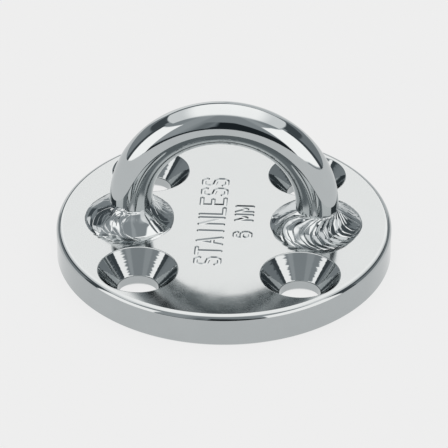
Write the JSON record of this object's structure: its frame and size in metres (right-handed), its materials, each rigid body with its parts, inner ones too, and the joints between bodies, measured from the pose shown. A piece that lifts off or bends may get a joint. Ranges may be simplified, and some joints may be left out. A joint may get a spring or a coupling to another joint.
{
  "type": "pad eye",
  "caption": "Round welded pad eye: a bent round-bar bow stands on a thick stainless disc with countersunk screw holes, to tie or shackle a line to a deck.",
  "frame": {"origin": "middle of the base plate's underside, which lies on the deck", "axes": "+Z away from the deck; +X from the left leg of the bow to the right leg; the eye opens along Y, and the stamp reads towards +Y"},
  "size_m": [0.05, 0.05, 0.0255],
  "materials": {
    "polished_stainless": "polished",
    "weld_metal": "as welded, bright"
  },
  "bodies": {
    "root": {"base_plate": "polished_stainless", "bow": "polished_stainless", "left_front_weld": "weld_metal", "left_back_weld": "weld_metal", "right_front_weld": "weld_metal", "right_back_weld": "weld_metal", "left_root_weld": "weld_metal", "right_root_weld": "weld_metal"}
  },
  "joints": []
}
